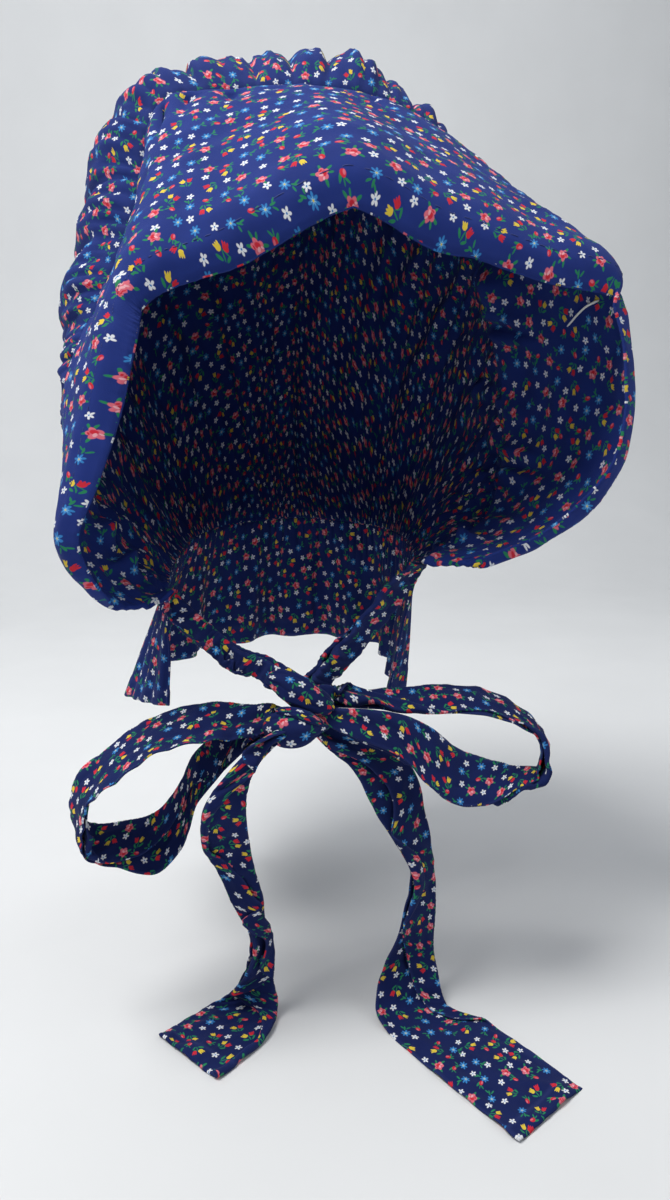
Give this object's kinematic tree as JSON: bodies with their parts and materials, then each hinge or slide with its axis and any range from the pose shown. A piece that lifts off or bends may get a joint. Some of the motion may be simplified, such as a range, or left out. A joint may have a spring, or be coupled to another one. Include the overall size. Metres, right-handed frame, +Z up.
{
  "type": "prairie bonnet",
  "caption": "Printed cotton sun bonnet with a deep stiff brim, puffed gathered crown, neck frill and wide ties in a bow.",
  "frame": {"origin": "where the crown rests on the top of the wearer's head", "axes": "+Z up, -Y the way the face looks, +X towards the wearer's left"},
  "size_m": [0.2359, 0.3072, 0.4423],
  "materials": {
    "brim": "stiffened printed cotton, doubled",
    "crown": "soft printed cotton, gathered",
    "neck_curtain": "soft printed cotton, gathered at the nape",
    "tie_left": "printed cotton strap, twisted",
    "tie_right": "printed cotton strap",
    "knot": "printed cotton, wrapped",
    "loop_left": "printed cotton strap",
    "loop_right": "printed cotton strap",
    "tail_left": "printed cotton strap",
    "tail_right": "printed cotton strap"
  },
  "bodies": {
    "root": {"brim": "brim", "crown": "crown", "neck_curtain": "neck_curtain", "tie_left": "tie_left", "tie_right": "tie_right", "knot": "knot", "loop_left": "loop_left", "loop_right": "loop_right", "tail_left": "tail_left", "tail_right": "tail_right"}
  },
  "joints": []
}
